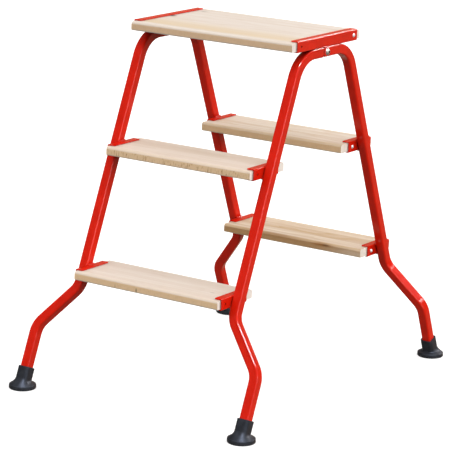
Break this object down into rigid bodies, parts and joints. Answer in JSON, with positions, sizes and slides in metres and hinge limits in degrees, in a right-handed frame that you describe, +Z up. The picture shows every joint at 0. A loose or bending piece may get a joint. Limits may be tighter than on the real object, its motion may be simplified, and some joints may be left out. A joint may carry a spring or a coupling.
{
  "type": "folding step stool",
  "caption": "Double-sided folding step stool: frames of bent square tube hinged under a platform, wooden treads in folded steel channels, joggled legs on round rubber feet.",
  "frame": {"origin": "on the floor, in the middle of the four feet, with the stool open", "axes": "+X across the treads to the right, +Y from the front frame to the rear frame, +Z up"},
  "size_m": [0.583, 0.7888, 0.726],
  "materials": {
    "red_paint": "glossy red enamel on steel",
    "board_wood": "pale close-grained hardwood, clear matt coat",
    "foot_rubber": "moulded, satin",
    "zinc_plate": "bright zinc plate",
    "bare_steel": "drawn bar and punched sheet"
  },
  "bodies": {
    "rear_frame": {"rear_left_leg": "red_paint", "rear_left_foot": "foot_rubber", "rear_right_leg": "red_paint", "rear_right_foot": "foot_rubber", "rear_foot_discs": "bare_steel", "rear_upper_left_channel": "red_paint", "rear_upper_right_channel": "red_paint", "rear_upper_tread": "board_wood", "rear_lower_left_channel": "red_paint", "rear_lower_right_channel": "red_paint", "rear_lower_tread": "board_wood", "rear_tread_screws": "zinc_plate", "platform_left_channel": "red_paint", "left_hinge_bolt": "zinc_plate", "left_hinge_washer": "zinc_plate", "left_hinge_nut": "zinc_plate", "platform_right_channel": "red_paint", "right_hinge_bolt": "zinc_plate", "right_hinge_washer": "zinc_plate", "right_hinge_nut": "zinc_plate", "platform_board": "board_wood", "platform_screws": "zinc_plate"},
    "front_frame": {"front_left_leg": "red_paint", "front_left_foot": "foot_rubber", "front_right_leg": "red_paint", "front_right_foot": "foot_rubber", "front_foot_discs": "bare_steel", "front_upper_left_channel": "red_paint", "front_upper_right_channel": "red_paint", "front_upper_tread": "board_wood", "front_lower_left_channel": "red_paint", "front_lower_right_channel": "red_paint", "front_lower_tread": "board_wood", "front_tread_screws": "zinc_plate", "left_hinge_tongue": "bare_steel", "right_hinge_tongue": "bare_steel"}
  },
  "joints": [
    {"name": "front_frame_fold", "type": "hinge", "parent": "rear_frame", "child": "front_frame", "pos_m": [0, 0, 0.6931], "axis": [1, 0, 0], "range_deg": [0, 47]}
  ]
}
